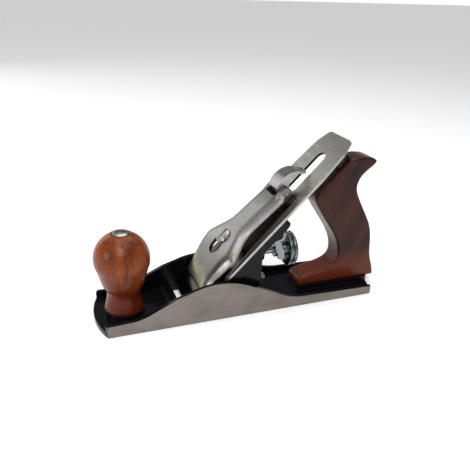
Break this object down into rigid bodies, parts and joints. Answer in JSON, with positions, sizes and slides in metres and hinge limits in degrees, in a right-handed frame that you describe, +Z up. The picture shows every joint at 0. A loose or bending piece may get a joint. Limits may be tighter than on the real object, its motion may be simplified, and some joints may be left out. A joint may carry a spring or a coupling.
{
  "type": "hand plane",
  "caption": "Metal-bodied smoothing plane with an angled two-piece iron under a cam-locked lever cap, a screw depth adjuster, a lateral lever, a ball knob and a horned wooden handle.",
  "frame": {"origin": "centre of the sole's underside, on the plane's middle", "axes": "+X from the toe to the heel, +Y across the sole, +Z up from the sole"},
  "size_m": [0.258, 0.0626, 0.1414],
  "materials": {
    "ground_iron": "ground, satin",
    "black_enamel": "glossy black enamel",
    "varnished_wood": "varnished hardwood, glossy",
    "plain_steel": "satin",
    "bright_plate": "polished plate",
    "blued_steel": "dark satin",
    "blade_steel": "fine ground",
    "zinc_plate": "bright zinc plate",
    "black_gloss": "gloss black"
  },
  "bodies": {
    "plane": {"sole_casting": "ground_iron", "frog": "black_enamel", "frog_screws": "blued_steel", "frog_washers": "blued_steel", "frog_adjusting_screw": "bright_plate", "frog_adjusting_plate": "plain_steel", "frog_plate_screws": "plain_steel", "yoke_pin": "plain_steel", "lever_cap_screw": "bright_plate", "lateral_pivot": "plain_steel", "front_knob": "varnished_wood", "knob_stud": "plain_steel", "knob_nut": "bright_plate", "rear_handle": "varnished_wood", "handle_stud": "plain_steel", "handle_nut": "bright_plate"},
    "wheel_rod": {"adjusting_rod": "plain_steel"},
    "wheel": {"depth_wheel": "zinc_plate"},
    "yoke": {"yoke_lever": "zinc_plate"},
    "lateral": {"lateral_lever": "plain_steel", "lateral_thumb_piece": "black_gloss", "lateral_roller": "plain_steel"},
    "iron": {"cap_iron": "blade_steel", "cap_iron_screw": "plain_steel"},
    "blade": {"cutter": "blade_steel"},
    "cap": {"lever_cap": "bright_plate", "lever_cap_spring": "plain_steel", "spring_rivet": "plain_steel", "cam_pin": "plain_steel"},
    "cam": {"cam_lever": "bright_plate"}
  },
  "joints": [
    {"name": "wheel_travel", "type": "slide", "parent": "plane", "child": "wheel_rod", "axis": [1, 0, 0], "range_m": [0, 0.0089]},
    {"name": "wheel_spin", "type": "hinge", "parent": "wheel_rod", "child": "wheel", "pos_m": [0.0355, 0, 0.0423], "axis": [1, 0, 0], "range_deg": [0, 2995]},
    {"name": "yoke_turn", "type": "hinge", "parent": "plane", "child": "yoke", "pos_m": [0.033, 0, 0.0628], "axis": [0, -1, 0], "range_deg": [0, 24.4]},
    {"name": "iron_slide", "type": "slide", "parent": "plane", "child": "iron", "axis": [-0.7071, 0, -0.7071], "range_m": [0, 0.007]},
    {"name": "cutter_skew", "type": "hinge", "parent": "iron", "child": "blade", "pos_m": [-0.03602, 0, 0.014], "axis": [-0.7071, 0, 0.7071], "range_deg": [-1, 1]},
    {"name": "lateral_turn", "type": "hinge", "parent": "plane", "child": "lateral", "pos_m": [0.04226, 0, 0.08379], "axis": [-0.7071, 0, 0.7071], "range_deg": [-9, 9]},
    {"name": "cap_slide", "type": "slide", "parent": "plane", "child": "cap", "axis": [0.7071, 0, 0.7071], "range_m": [0, 0.0095]},
    {"name": "cam_turn", "type": "hinge", "parent": "cap", "child": "cam", "pos_m": [0.03851, 0, 0.09899], "axis": [0, -1, 0], "range_deg": [0, 75]}
  ],
  "couplings": [
    {"joint": "wheel_spin", "follows": "iron_slide", "rad_per_m": 7462},
    {"joint": "wheel_travel", "follows": "iron_slide", "ratio": 1.259},
    {"joint": "yoke_turn", "follows": "iron_slide", "rad_per_m": 60.4},
    {"joint": "cutter_skew", "follows": "lateral_turn", "ratio": -0.104}
  ]
}
